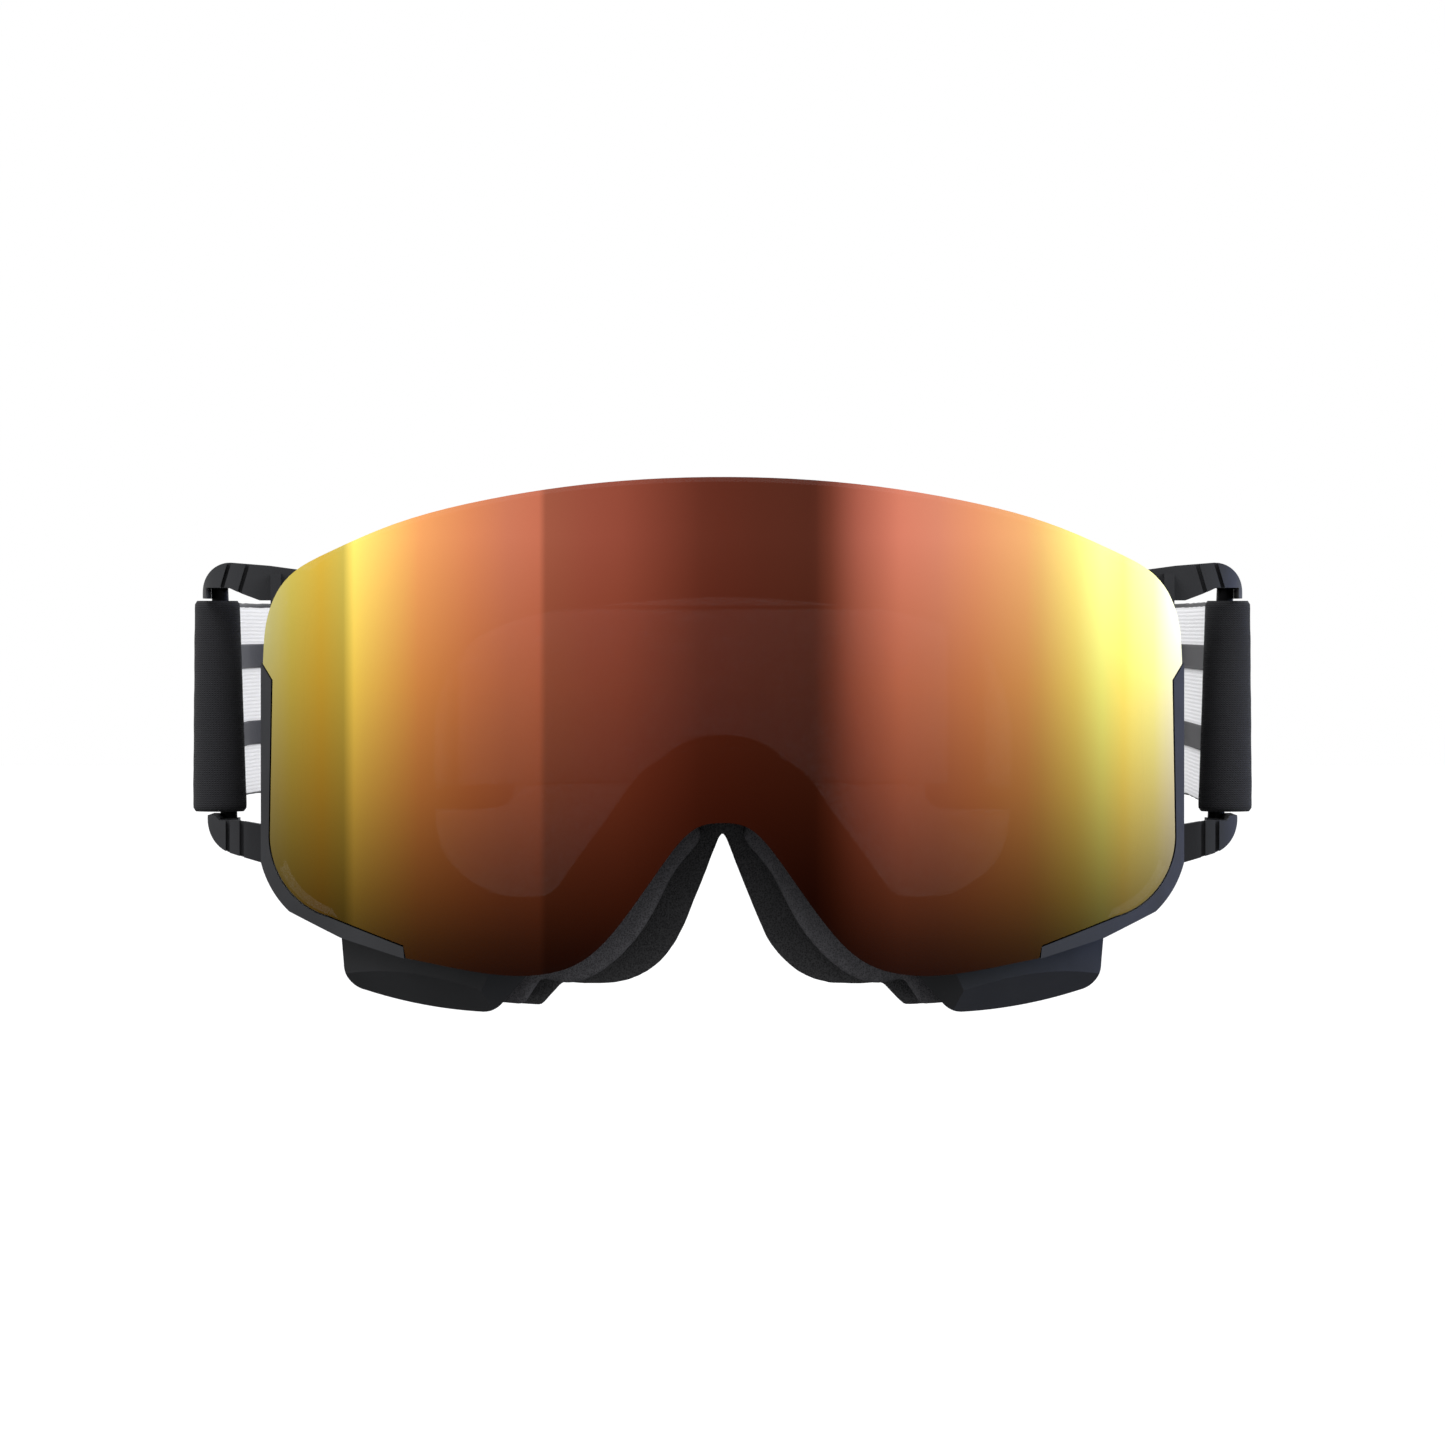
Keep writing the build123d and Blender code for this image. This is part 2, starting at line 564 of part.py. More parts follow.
with BuildPart() as rim:
    with BuildSketch(Plane.XZ):
        with BuildLine():
            Line(RIM_TOP, RIM_SIDE_END)
            ThreePointArc(RIM_SIDE_END, RIM_CORNER, RIM_CORNER_END)
            Polyline(RIM_CORNER_END, RIM_LOWER, RIM_FOOT, clear_of_lens(LENS_STEP[0], 0, -1))
            Line(clear_of_lens(LENS_STEP[0], 0, -1), clear_of_lens(LENS_CORNER_END, 0, -1))
            ThreePointArc(
                clear_of_lens(LENS_CORNER_END, 0, -1),
                clear_of_lens(LENS_CORNER, 0.7, -0.7),
                clear_of_lens(LENS_SIDE_END, 1, 0),
            )
            Polyline(clear_of_lens(LENS_SIDE_END, 1, 0), clear_of_lens(LENS_NOTCH, 1, 0), RIM_TOP)
        make_face()
    extrude(amount=DEEP, both=True)
    keep_between(LENS_FRONT, RIM_REAR)

with BuildPart() as arm_roots:
    add(arm_shapes)
    add(arm_plan, mode=Mode.INTERSECT)
    add(root_cell, mode=Mode.INTERSECT)
    with BuildSketch(Plane.XZ) as behind_lens:
        ring_face(smooth(grown(SEAT, -ROOT_INSET)))
    extrude(behind_lens.sketch, amount=DEEP, both=True, mode=Mode.SUBTRACT)

with BuildPart() as tongue_pockets:
    add(arm_shapes)
    add(pocket_band, mode=Mode.INTERSECT)
    add(pocket_cell, mode=Mode.INTERSECT)
    box_between((0, DEEP), (-DEEP, TONGUE_END_Y + FIT_GAP), (-DEEP, DEEP), Mode.INTERSECT)

with BuildPart() as side_frame:
    add(rim.part)
    box_between(STRIP_X, STRIP_Y, STRIP_Z)
    add(arm_roots.part)
    add(tongue_pockets.part, mode=Mode.SUBTRACT)
finish_pair(side_frame.part, "side_frame")

# ==== Outrigger ====
with BuildPart() as tongues:
    add(arm_shapes)
    add(tongue_band, mode=Mode.INTERSECT)
    add(tongue_cell, mode=Mode.INTERSECT)
    box_between((0, DEEP), (-DEEP, TONGUE_END_Y), (-DEEP, DEEP), Mode.INTERSECT)

with BuildPart() as outrigger_link:
    add(arm_shapes)
    add(arm_plan, mode=Mode.INTERSECT)
    add(link_cell, mode=Mode.INTERSECT)
    box_between((0, DEEP), (-DEEP, TONGUE_END_Y), (-DEEP, DEEP), Mode.INTERSECT)
    add(tongues.part)
finish_pair(outrigger_link.part, "outrigger_link")

bar_line = Vector(*BAR_TOP) - Vector(*BAR_BOTTOM)
bar_plane = Plane(BAR_BOTTOM, z_dir=bar_line, x_dir=(1, 0, 0))
with BuildPart() as bosses:
    add(arm_shapes)
    box_between(BOSS_X, BOSS_Y, (-DEEP, DEEP), Mode.INTERSECT)

with BuildPart() as outrigger_bracket:
    add(arm_shapes)
    add(arm_plan, mode=Mode.INTERSECT)
    add(bracket_cell, mode=Mode.INTERSECT)
    add(tongue_pockets.part, mode=Mode.SUBTRACT)
    add(bosses.part)
    with BuildSketch(bar_plane):
        Circle(BAR_RADIUS + BAR_SOCKET_CLEARANCE)
    extrude(amount=bar_line.length, mode=Mode.SUBTRACT)
finish_pair(outrigger_bracket.part, "outrigger_bracket")

with BuildPart() as strap_bar:
    with BuildSketch(bar_plane):
        Circle(BAR_RADIUS)
    extrude(amount=bar_line.length)
finish_pair(strap_bar.part, "strap_bar")

# ==== Strap ====
with BuildPart() as strap_sleeve:
    for (centre, half_axes), z in ((SLEEVE_BOTTOM, -STRAP_WIDTH / 2), (SLEEVE_TOP, STRAP_WIDTH / 2)):
        with BuildSketch(Plane.XY.offset(z)):
            with Locations(centre):
                Ellipse(*half_axes)
    loft()
    with BuildSketch(bar_plane) as bar_hole:
        Circle(BAR_RADIUS + FIT_GAP)
    extrude(bar_hole.sketch, amount=bar_line.length, mode=Mode.SUBTRACT)
finish_pair(strap_sleeve.part, "strap_sleeve")

inner_layer = strap_band(-LAYER_SHIFT, STRAP_THICKNESS, STRAP_WIDTH)
outer_layer = strap_band(LAYER_SHIFT, STRAP_THICKNESS, STRAP_WIDTH)
finish(inner_layer, "strap_left")
finish(mirror(outer_layer, about=Plane.YZ), "strap_right")

for layer_shift, label in ((-LAYER_SHIFT, "left"), (LAYER_SHIFT, "right")):
    grip_shift = layer_shift - STRAP_THICKNESS / 2 - GRIP_THICKNESS / 2
    grip_skin = strap_band(grip_shift, GRIP_THICKNESS, STRAP_WIDTH)
    with BuildPart() as grip_bands:
        for z_range in GRIP_BANDS:
            box_between((0, DEEP), GRIP_RUN, z_range)
        add(grip_skin, mode=Mode.INTERSECT)
    bands = grip_bands.part if label == "left" else mirror(grip_bands.part, about=Plane.YZ)
    finish(bands, f"grip_stripes_{label}")

# ==== Adjusters ====
finish(slider_solid(-LAYER_SHIFT), "slider_left")
finish(mirror(slider_solid(LAYER_SHIFT), about=Plane.YZ), "slider_right")
finish(tail_solid(LAYER_SHIFT), "strap_tail_left")
finish(mirror(tail_solid(-LAYER_SHIFT), about=Plane.YZ), "strap_tail_right")
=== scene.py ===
"""Looks of the ski goggles: fabric, foam, moulded polymer and the mirrored lens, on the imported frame.

Metres, in the row frame: +Z up, the lens faces -Y, +X is the wearer's left.
"""

from math import atan2, cos, pi, radians, sin, sqrt

import bpy
import bmesh
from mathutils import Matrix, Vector


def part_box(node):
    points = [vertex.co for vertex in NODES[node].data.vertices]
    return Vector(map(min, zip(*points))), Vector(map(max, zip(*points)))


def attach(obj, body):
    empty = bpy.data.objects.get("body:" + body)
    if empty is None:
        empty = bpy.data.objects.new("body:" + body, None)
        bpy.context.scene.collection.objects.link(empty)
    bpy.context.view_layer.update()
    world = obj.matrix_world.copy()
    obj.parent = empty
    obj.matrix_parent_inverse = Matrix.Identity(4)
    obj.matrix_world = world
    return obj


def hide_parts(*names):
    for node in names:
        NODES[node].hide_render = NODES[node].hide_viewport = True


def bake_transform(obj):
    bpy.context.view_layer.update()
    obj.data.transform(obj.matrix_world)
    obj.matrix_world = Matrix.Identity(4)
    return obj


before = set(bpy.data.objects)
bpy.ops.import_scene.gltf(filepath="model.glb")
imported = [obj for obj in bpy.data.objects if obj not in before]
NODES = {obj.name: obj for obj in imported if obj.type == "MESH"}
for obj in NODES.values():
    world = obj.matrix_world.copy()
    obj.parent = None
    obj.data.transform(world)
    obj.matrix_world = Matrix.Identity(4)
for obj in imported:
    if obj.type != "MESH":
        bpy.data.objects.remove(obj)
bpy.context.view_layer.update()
SIDES = (("left", 1), ("right", -1))


def corners(node):
    """A CAD node's lowest and highest corners, to a tenth of a millimetre."""
    return [[round(value, 4) for value in corner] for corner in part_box(node)]


# ---------------------------------------------------------------- places read from the frame
LENS_RADIUS = 0.110
LENS_CENTRE_Y = corners("outer_lens")[0][1] + LENS_RADIUS

STRAP_LOW, STRAP_HIGH = corners("strap_left")
STRAP_WIDTH = STRAP_HIGH[2] - STRAP_LOW[2]

BAR_LOW, BAR_HIGH = corners("strap_bar_left")
BAR_X = (BAR_LOW[0] + BAR_HIGH[0]) / 2
BAR_Y = (BAR_LOW[1] + BAR_HIGH[1]) / 2

SLEEVE_LOW, SLEEVE_HIGH = corners("strap_sleeve_left")
SLEEVE_X = (SLEEVE_LOW[0] + SLEEVE_HIGH[0]) / 2
SLEEVE_Y = (SLEEVE_LOW[1] + SLEEVE_HIGH[1]) / 2
SLEEVE_HALF_X = (SLEEVE_HIGH[0] - SLEEVE_LOW[0]) / 2
SLEEVE_HALF_Y = (SLEEVE_HIGH[1] - SLEEVE_LOW[1]) / 2

GRIP_LOW, GRIP_HIGH = corners("grip_stripes_left")
GRIP_WIDTH = 0.005
GRIP_THICKNESS = 0.0005
GRIP_LIFT = 0.0002
GRIP_MIDDLES = (GRIP_HIGH[2] - GRIP_WIDTH / 2, GRIP_LOW[2] + GRIP_WIDTH / 2)

# ---------------------------------------------------------------- the strap, drawn at +X
# The plan route has the CAD's values: along the side, a bend, the adjuster's straight stretch, the rear arc.
STRAP_START = (0.0964, STRAP_LOW[1])
STRAP_SIDE_END = (0.0986, 0.0956)
STRAP_SIDE_RADIUS = 0.070
STRAP_REAR_ANGLE = radians(140)
STRAIGHT_LENGTH = 0.056
LAYER_SHIFT = 0.0012
STRAP_THICKNESS = 0.0018
STRAP_LEAD_Y = 0.0085
RIBBON_STEP = 0.002
SIDE_STEPS = 44
BEND_STEPS = 30
STRAIGHT_STEPS = 26
REAR_STEPS = 64
BAND_REAR_STEPS = 52

# How the sewn end turns round its adjuster's bar: (distance along the straight, offset away from the head).
TUCKS = {
    "left": (
        (0.0322, 0.0012), (0.0330, 0.0030), (0.0355, 0.0041),
        (0.0380, 0.0037), (0.0405, 0.0022), (0.044, 0.0013),
    ),
    "right": (
        (0.0186, -0.0024), (0.0198, -0.0042), (0.0240, -0.0045),
        (0.0280, -0.0040), (0.032, -0.0024), (0.037, -0.0013),
    ),
}
TUCK_RUNOUT = (0.048, 0.052)

# The folded sleeve leans and narrows by this much from its foot to its head, and ends flat on the strap.
SLEEVE_LEAN = 0.00045
SLEEVE_TAPER = 0.00085
SLEEVE_END_Y = 0.0120
SLEEVE_END_HALF = 0.0019
SLEEVE_ROUND_FROM = 0.92
SLEEVE_EDGE = 0.0009
SLEEVE_EDGE_SHRINK = 0.10
BAR_LEAN = 0.0009
BAR_HOLE_RADIUS = 0.0018
BAR_HOLE_DEPTH = 0.003

# Upright rows of stitches.
STITCH_LOWEST = -0.018
STITCH_PITCH = 0.0026
STITCH_COUNT = 15
LOOP_SEAM_OFFSET = 0.0021
LOOP_SEAM_Y = (0.0094, 0.0112)
HEM_STATIONS = (0.0395, 0.0435)

# ---------------------------------------------------------------- lens coat and studio
COAT_HALF_WIDTH = 0.0855
# The heights over which the painted shade on the lens coat runs from darkest to none.
COAT_FOOT_Z = -0.047
COAT_HEAD_Z = 0.031
GASKET_PINCH = 0.00012
CARD_RADIUS = 3.0
CARD_HEIGHT = 5.0
CARD_FADE_Z = (-0.22, 0.085)
CARD_GAIN = 1.24
FLOOR_Z = -0.32
FLOOR_HALF = 12.0
CAMERA_PLACE = (0, -1.013, 0.0146)
CAMERA_LENS = 133.1


# ---------------------------------------------------------------- materials
class Shader:
    """A Principled material with short ways to add texture nodes."""

    def __init__(self, name, color, roughness, **inputs):
        self.material = bpy.data.materials.new(name)
        self.material.use_nodes = True
        self.tree = self.material.node_tree
        self.bsdf = self.tree.nodes["Principled BSDF"]
        self.set(self.bsdf, "Base Color", (*color, 1))
        self.set(self.bsdf, "Roughness", roughness)
        for key, value in inputs.items():
            self.set(self.bsdf, key.replace("_", " "), value)
        self.coordinates = self.tree.nodes.new("ShaderNodeTexCoord")

    def set(self, node, key, value):
        """Set a socket to a value, or link it from another node's socket."""
        if isinstance(value, bpy.types.NodeSocket):
            self.tree.links.new(value, node.inputs[key])
        else:
            node.inputs[key].default_value = value

    def add(self, kind, inputs=None, **settings):
        """A new node with its settings and inputs filled in."""
        node = self.tree.nodes.new(kind)
        for key, value in settings.items():
            setattr(node, key, value)
        for key, value in (inputs or {}).items():
            self.set(node, key, value)
        return node

    def noise(self, scale, detail=3.0, vector=None):
        """Noise over the object's own metres."""
        vector = vector or self.coordinates.outputs["Object"]
        inputs = {"Vector": vector, "Scale": scale, "Detail": detail}
        return self.add("ShaderNodeTexNoise", inputs).outputs["Fac"]

    def cells(self, scale, feature="F1", vector=None):
        """Cell distance over the object's own metres."""
        vector = vector or self.coordinates.outputs["Object"]
        node = self.add("ShaderNodeTexVoronoi", {"Vector": vector, "Scale": scale}, feature=feature)
        return node.outputs["Distance"]

    def math(self, operation, first, second=0.0):
        """One Math node."""
        return self.add("ShaderNodeMath", {0: first, 1: second}, operation=operation).outputs["Value"]

    def span(self, value, low, high, to_low=0.0, to_high=1.0):
        """Map low..high to to_low..to_high, clamped."""
        inputs = {"Value": value, "From Min": low, "From Max": high, "To Min": to_low, "To Max": to_high}
        return self.add("ShaderNodeMapRange", inputs).outputs["Result"]

    def ramp(self, value, stops, interpolation="LINEAR"):
        """A colour ramp with stops as (position, colour)."""
        node = self.add("ShaderNodeValToRGB", {"Fac": value})
        node.color_ramp.interpolation = interpolation
        elements = node.color_ramp.elements
        while len(elements) < len(stops):
            elements.new(1.0)
        for element, (position, color) in zip(elements, stops):
            element.position = position
            element.color = (*color, 1)
        return node.outputs["Color"]

    def mix(self, factor, first, second, blend="MIX"):
        """Mix two colours."""
        node = self.add("ShaderNodeMix", data_type="RGBA", blend_type=blend)
        self.set(node, "Factor", factor)
        for socket, value in ((node.inputs[6], first), (node.inputs[7], second)):
            if isinstance(value, bpy.types.NodeSocket):
                self.tree.links.new(value, socket)
            else:
                socket.default_value = (*value, 1)
        return node.outputs[2]

    def split(self, socket):
        """The X, Y and Z of a vector."""
        node = self.add("ShaderNodeSeparateXYZ", {"Vector": socket})
        return node.outputs["X"], node.outputs["Y"], node.outputs["Z"]

    def curved(self):
        """The true normal of the lens's upright cylinder on both faces, for an unbroken reflection."""
        x, y, _ = self.split(self.coordinates.outputs["Object"])
        spoke = self.add("ShaderNodeCombineXYZ", {"X": x, "Y": self.math("SUBTRACT", y, LENS_CENTRE_Y)})
        radial = self.add("ShaderNodeVectorMath", {0: spoke.outputs["Vector"]}, operation="NORMALIZE")
        flat = self.add("ShaderNodeNewGeometry").outputs["Normal"]
        both = {0: flat, 1: radial.outputs["Vector"]}
        facing = self.add("ShaderNodeVectorMath", both, operation="DOT_PRODUCT")
        way = self.math("SIGN", facing.outputs["Value"])
        turned = self.add(
            "ShaderNodeVectorMath", {0: radial.outputs["Vector"], "Scale": way}, operation="SCALE"
        )
        on_face = self.math("GREATER_THAN", self.math("ABSOLUTE", facing.outputs["Value"]), 0.9)
        chosen = self.add("ShaderNodeMix", {"Factor": on_face}, data_type="VECTOR")
        self.tree.links.new(flat, chosen.inputs[4])
        self.tree.links.new(turned.outputs["Vector"], chosen.inputs[5])
        self.set(self.bsdf, "Normal", chosen.outputs[1])
        self.set(self.bsdf, "Coat Normal", chosen.outputs[1])

    def bump(self, height, strength, distance, after=None):
        """Bump, chained after another bump's normal where there is one."""
        inputs = {"Height": height, "Strength": strength, "Distance": distance}
        if after is not None:
            inputs["Normal"] = after
        normal = self.add("ShaderNodeBump", inputs).outputs["Normal"]
        self.set(self.bsdf, "Normal", normal)
        return normal


def polymer(name, color, roughness, grain=0.35):
    """Moulded soft polymer: spark-eroded grain, faint cloudiness and slightly polished patches."""
    look = Shader(name, color, roughness, IOR=1.47, Specular_IOR_Level=0.14)
    cloud = look.noise(60, 4)
    lighter = tuple(c * 1.22 for c in color)
    look.set(look.bsdf, "Base Color", look.mix(look.span(cloud, 0.35, 0.7), color, lighter))
    polished = look.span(look.noise(140, 3), 0.3, 0.7, roughness - 0.06, roughness + 0.08)
    look.set(look.bsdf, "Roughness", polished)
    fine = look.bump(look.noise(5200, 2), grain, 0.00006)
    look.bump(look.noise(900, 2), 0.12, 0.0001, fine)
    return look.material


def foam(name, color, pore_scale, depth):
    """Open-cell foam: pale struts with painted shade in the pores between them, and a soft uneven tone."""
    look = Shader(name, color, 0.95, IOR=1.3, Specular_IOR_Level=0.1)
    pores = look.cells(pore_scale)
    wide = look.noise(90, 4)
    # Painted shade: darker towards each cell's middle, where the bump sinks into a pore.
    dark = tuple(c * 0.5 for c in color)
    light = tuple(min(1, c * 1.35) for c in color)
    tone = look.mix(look.span(pores, 0.1, 0.62), dark, light)
    look.set(look.bsdf, "Base Color", look.mix(look.span(wide, 0.3, 0.75, 0.0, 0.45), tone, color))
    first = look.bump(pores, 0.8, depth)
    look.bump(look.noise(pore_scale * 0.6, 3), 0.5, depth, first)
    return look.material


def fleece_material():
    """Brushed fleece: short fibres, low mottling and a soft sheen."""
    look = Shader("fleece", (0.03, 0.031, 0.035), 0.95, IOR=1.3)
    look.set(look.bsdf, "Sheen Weight", 0.5)
    look.set(look.bsdf, "Sheen Roughness", 0.5)
    fibres = look.noise(1700, 5)
    tone = look.mix(look.span(fibres, 0.35, 0.7), (0.012, 0.012, 0.014), (0.065, 0.066, 0.072))
    look.set(look.bsdf, "Base Color", tone)
    first = look.bump(fibres, 0.9, 0.0004)
    look.bump(look.noise(240, 3), 0.4, 0.0008, first)
    return look.material


def webbing(name, dark, light, ribs, sheen=0.2):
    """Woven elastic tape: ribs along and across it, read from the tape's own length and width in metres,
    with painted shade in the dips between them.
    """
    look = Shader(name, dark, 0.85, IOR=1.4, Specular_IOR_Level=0.15)
    look.set(look.bsdf, "Sheen Weight", sheen)
    along, across, _ = look.split(look.coordinates.outputs["UV"])
    warp = look.math("SINE", look.math("MULTIPLY", across, 2 * pi * ribs))
    weft = look.math("SINE", look.math("MULTIPLY", along, 2 * pi * ribs * 0.8))
    over = look.math("MULTIPLY", warp, weft)
    fuzz = look.noise(ribs * 4.0, 3)
    height = look.math("ADD", look.math("MULTIPLY", over, 0.5), look.math("MULTIPLY", warp, 0.35))
    # Painted shade: the weave's colour darkens where its bump height is low, in the dips between ribs.
    tone = look.mix(look.span(height, -0.8, 0.8), dark, light)
    look.set(look.bsdf, "Base Color", look.mix(look.span(fuzz, 0.35, 0.75, 0.0, 0.35), tone, light))
    first = look.bump(height, 0.6, 0.00012)
    look.bump(fuzz, 0.4, 0.00015, first)
    return look.material


def thread(name, color):
    """Twisted sewing thread."""
    look = Shader(name, color, 0.7, IOR=1.45)
    look.set(look.bsdf, "Sheen Weight", 0.3)
    twist = look.noise(2600, 2)
    look.set(look.bsdf, "Base Color", look.mix(twist, tuple(c * 0.6 for c in color), color))
    look.bump(twist, 0.6, 0.0001)
    return look.material


def silicone(name, color):
    """Printed silicone: glossy skin with tiny pinholes."""
    look = Shader(name, color, 0.5, IOR=1.42, Specular_IOR_Level=0.2)
    look.set(look.bsdf, "Base Color", look.mix(look.noise(300, 3), color, tuple(c * 1.5 for c in color)))
    look.bump(look.cells(1300), 0.25, 0.00008)
    return look.material


def mirror_coat():
    """A warm multilayer mirror on a tinted lens: copper in the middle, gold at the sides, with painted shade
    that darkens it towards the bottom.
    """
    look = Shader("mirror_lens", (0.9, 0.4, 0.2), 0.03, Metallic=1.0)
    look.set(look.bsdf, "Coat Weight", 0.1)
    look.set(look.bsdf, "Coat Roughness", 0.02)
    x, _, z = look.split(look.coordinates.outputs["Object"])
    aside = look.span(look.math("ABSOLUTE", x), 0.0, COAT_HALF_WIDTH)
    coat = look.ramp(
        aside,
        (
            (0.0, (0.54, 0.10, 0.055)),
            (0.28, (0.60, 0.135, 0.078)),
            (0.45, (0.62, 0.18, 0.095)),
            (0.53, (0.70, 0.225, 0.09)),
            (0.64, (0.78, 0.32, 0.10)),
            (0.76, (0.84, 0.58, 0.12)),
            (0.81, (0.90, 0.71, 0.12)),
            (0.86, (1.0, 0.66, 0.07)),
            (0.93, (0.92, 0.76, 0.14)),
            (1.0, (0.88, 0.88, 0.42)),
        ),
    )
    smoke = look.noise(18, 2)
    coat = look.mix(look.span(smoke, 0.3, 0.7, 0.0, 0.05), coat, (1.0, 0.6, 0.3))
    # Painted shade: the coat darkens towards the bottom, standing in for the darker surroundings that the
    # lens reflects below.
    down = look.span(z, COAT_FOOT_Z, COAT_HEAD_Z)
    shade = look.ramp(
        down,
        (
            (0.0, (0.07, 0.045, 0.02)),
            (0.07, (0.14, 0.105, 0.05)),
            (0.17, (0.27, 0.20, 0.095)),
            (0.41, (0.57, 0.45, 0.28)),
            (0.66, (0.80, 0.70, 0.50)),
            (1.0, (1, 1, 1)),
        ),
    )
    look.set(look.bsdf, "Base Color", look.mix(1.0, coat, shade, "MULTIPLY"))
    look.set(look.bsdf, "Roughness", look.span(look.noise(500, 2), 0.3, 0.7, 0.02, 0.035))
    look.set(look.bsdf, "Alpha", 0.88)
    look.curved()
    return look.material


def tinted_lens():
    """The inner lens: nearly clear, faintly brown, with a little haze."""
    look = Shader("tinted_lens", (0.25, 0.15, 0.1), 0.05, IOR=1.5)
    haze = look.noise(400, 2)
    look.set(look.bsdf, "Base Color", look.mix(haze, (0.22, 0.13, 0.09), (0.27, 0.17, 0.12)))
    look.set(look.bsdf, "Alpha", 0.25)
    look.curved()
    return look.material


def give(node, material):
    """Put one material on a CAD node."""
    slots = NODES[node].data.materials
    slots.clear()
    slots.append(material)


# ---------------------------------------------------------------- studio
def studio_card():
    """A tall round card with bright and dark bands. It only shows in reflections.

    The bands are (degrees from straight ahead, brightness), or a colour for the cooler ones. They are fitted
    to the colours of the lens in the photo.
    """
    look = Shader("studio_card", (0, 0, 0), 1.0)
    tree = look.tree
    tree.nodes.remove(look.bsdf)
    x, y, z = look.split(look.coordinates.outputs["Object"])
    turn = look.math("ARCTAN2", x, look.math("MULTIPLY", y, -1.0))
    place = look.span(turn, -pi, pi)
    grey_bands = (
        (-180, 0.8), (-110, 0.72), (-80.3, 0.72), (-80.0, 1.4), (-68, 1.2), (-58, 1.05), (-49, 0.95),
        (-36.3, 0.86), (-36.0, 0.53), (-20, 0.45), (-4, 0.215), (7, 0.165), (18, 0.138), (21.5, 0.27),
    )
    cool_bands = (
        (27, (0.63, 0.68, 0.75)), (35.5, (1.05, 1.15, 1.3)), (66, (1.1, 1.3, 1.5)),
        (75, (1.3, 1.6, 1.9)), (82, (1.45, 2.0, 3.2)), (90, (1.7, 2.3, 4.4)), (102, (1.8, 2.1, 4.4)),
        (125, (1.4, 1.5, 1.7)), (180, (0.8, 0.8, 0.8)),
    )
    bands = [(degrees, (level,) * 3) for degrees, level in grey_bands] + list(cool_bands)
    peak = 4.4
    stops = [((degrees + 180) / 360, tuple(c / peak for c in color)) for degrees, color in bands]
    glow = look.ramp(place, stops)
    fade = look.ramp(look.span(z, *CARD_FADE_Z), ((0.0, (0.35,) * 3), (1.0, (1.0,) * 3)))
    color = look.mix(1.0, glow, fade, "MULTIPLY")
    light = look.add("ShaderNodeEmission", {"Color": color, "Strength": CARD_GAIN * peak})
    tree.links.new(light.outputs["Emission"], tree.nodes["Material Output"].inputs["Surface"])
    mesh = bpy.data.meshes.new("studio_card")
    form = bmesh.new()
    bmesh.ops.create_cone(
        form, cap_ends=False, segments=128, radius1=CARD_RADIUS, radius2=CARD_RADIUS, depth=CARD_HEIGHT
    )
    form.to_mesh(mesh)
    form.free()
    card = bpy.data.objects.new("studio_card", mesh)
    mesh.materials.append(look.material)
    bpy.context.scene.collection.objects.link(card)
    card.visible_camera = False
    card.visible_diffuse = False
    card.visible_transmission = False
    card.visible_shadow = False


def floor():
    """A plain pale floor below the goggles. It lights nothing and shows in no reflection."""
    look = Shader("floor", (0.93, 0.93, 0.94), 0.9)
    look.set(look.bsdf, "Base Color", look.mix(look.noise(3, 2), (0.92, 0.92, 0.93), (0.94, 0.94, 0.95)))
    look.set(look.bsdf, "Emission Color", (1, 1, 1, 1))
    look.set(look.bsdf, "Emission Strength", 0.15)
    mesh = bpy.data.meshes.new("floor")
    square = ((-1, -1), (1, -1), (1, 1), (-1, 1))
    mesh.from_pydata([(FLOOR_HALF * x, FLOOR_HALF * y, 0) for x, y in square], [], [(0, 1, 2, 3)])
    mesh.materials.append(look.material)
    plane = bpy.data.objects.new("floor", mesh)
    plane.location.z = FLOOR_Z
    bpy.context.scene.collection.objects.link(plane)
    plane.visible_diffuse = False
    plane.visible_glossy = False


def lights_and_camera():
    """White surroundings, dimmer from below, two soft lights, and the camera, looking one degree down."""
    scene = bpy.context.scene
    world = bpy.data.worlds.new("studio")
    world.use_nodes = True
    tree = world.node_tree
    place = tree.nodes.new("ShaderNodeTexCoord")
    axes = tree.nodes.new("ShaderNodeSeparateXYZ")
    height = tree.nodes.new("ShaderNodeMapRange")
    height.inputs["From Min"].default_value = -0.6
    height.inputs["From Max"].default_value = -0.2
    height.inputs["To Min"].default_value = 0.2
    tree.links.new(place.outputs["Generated"], axes.inputs["Vector"])
    tree.links.new(axes.outputs["Z"], height.inputs["Value"])
    tree.links.new(height.outputs["Result"], tree.nodes["Background"].inputs["Strength"])
    tree.nodes["Background"].inputs["Color"].default_value = (1, 1, 1, 1)
    scene.world = world
    scene.view_settings.view_transform = "Standard"
    for name, place, size, power in (
        ("key", (-0.9, -1.2, 1.5), 1.0, 26.0),
        ("fill", (1.2, -0.9, 0.9), 1.0, 14.0),
    ):
        light = bpy.data.objects.new(name, bpy.data.lights.new(name, "AREA"))
        light.data.size = size
        light.data.energy = power
        light.location = place
        light.rotation_euler = (-Vector(place)).to_track_quat("-Z", "Y").to_euler()
        light.visible_camera = False
        light.visible_glossy = False
        scene.collection.objects.link(light)
    camera = bpy.data.objects.new("camera", bpy.data.cameras.new("camera"))
    camera.data.sensor_width = 36.0
    camera.data.lens = CAMERA_LENS
    camera.location = CAMERA_PLACE
    camera.rotation_euler = (radians(89), 0, 0)
    scene.collection.objects.link(camera)
    scene.camera = camera


# ---------------------------------------------------------------- soft goods
def new_object(name, vertices, faces, materials):
    """A mesh object in the scene."""
    mesh = bpy.data.meshes.new(name)
    mesh.from_pydata(vertices, [], faces)
    mesh.validate()
    for material in materials:
        mesh.materials.append(material)
    mesh.shade_smooth()
    made = bpy.data.objects.new(name, mesh)
    bpy.context.scene.collection.objects.link(made)
    return made


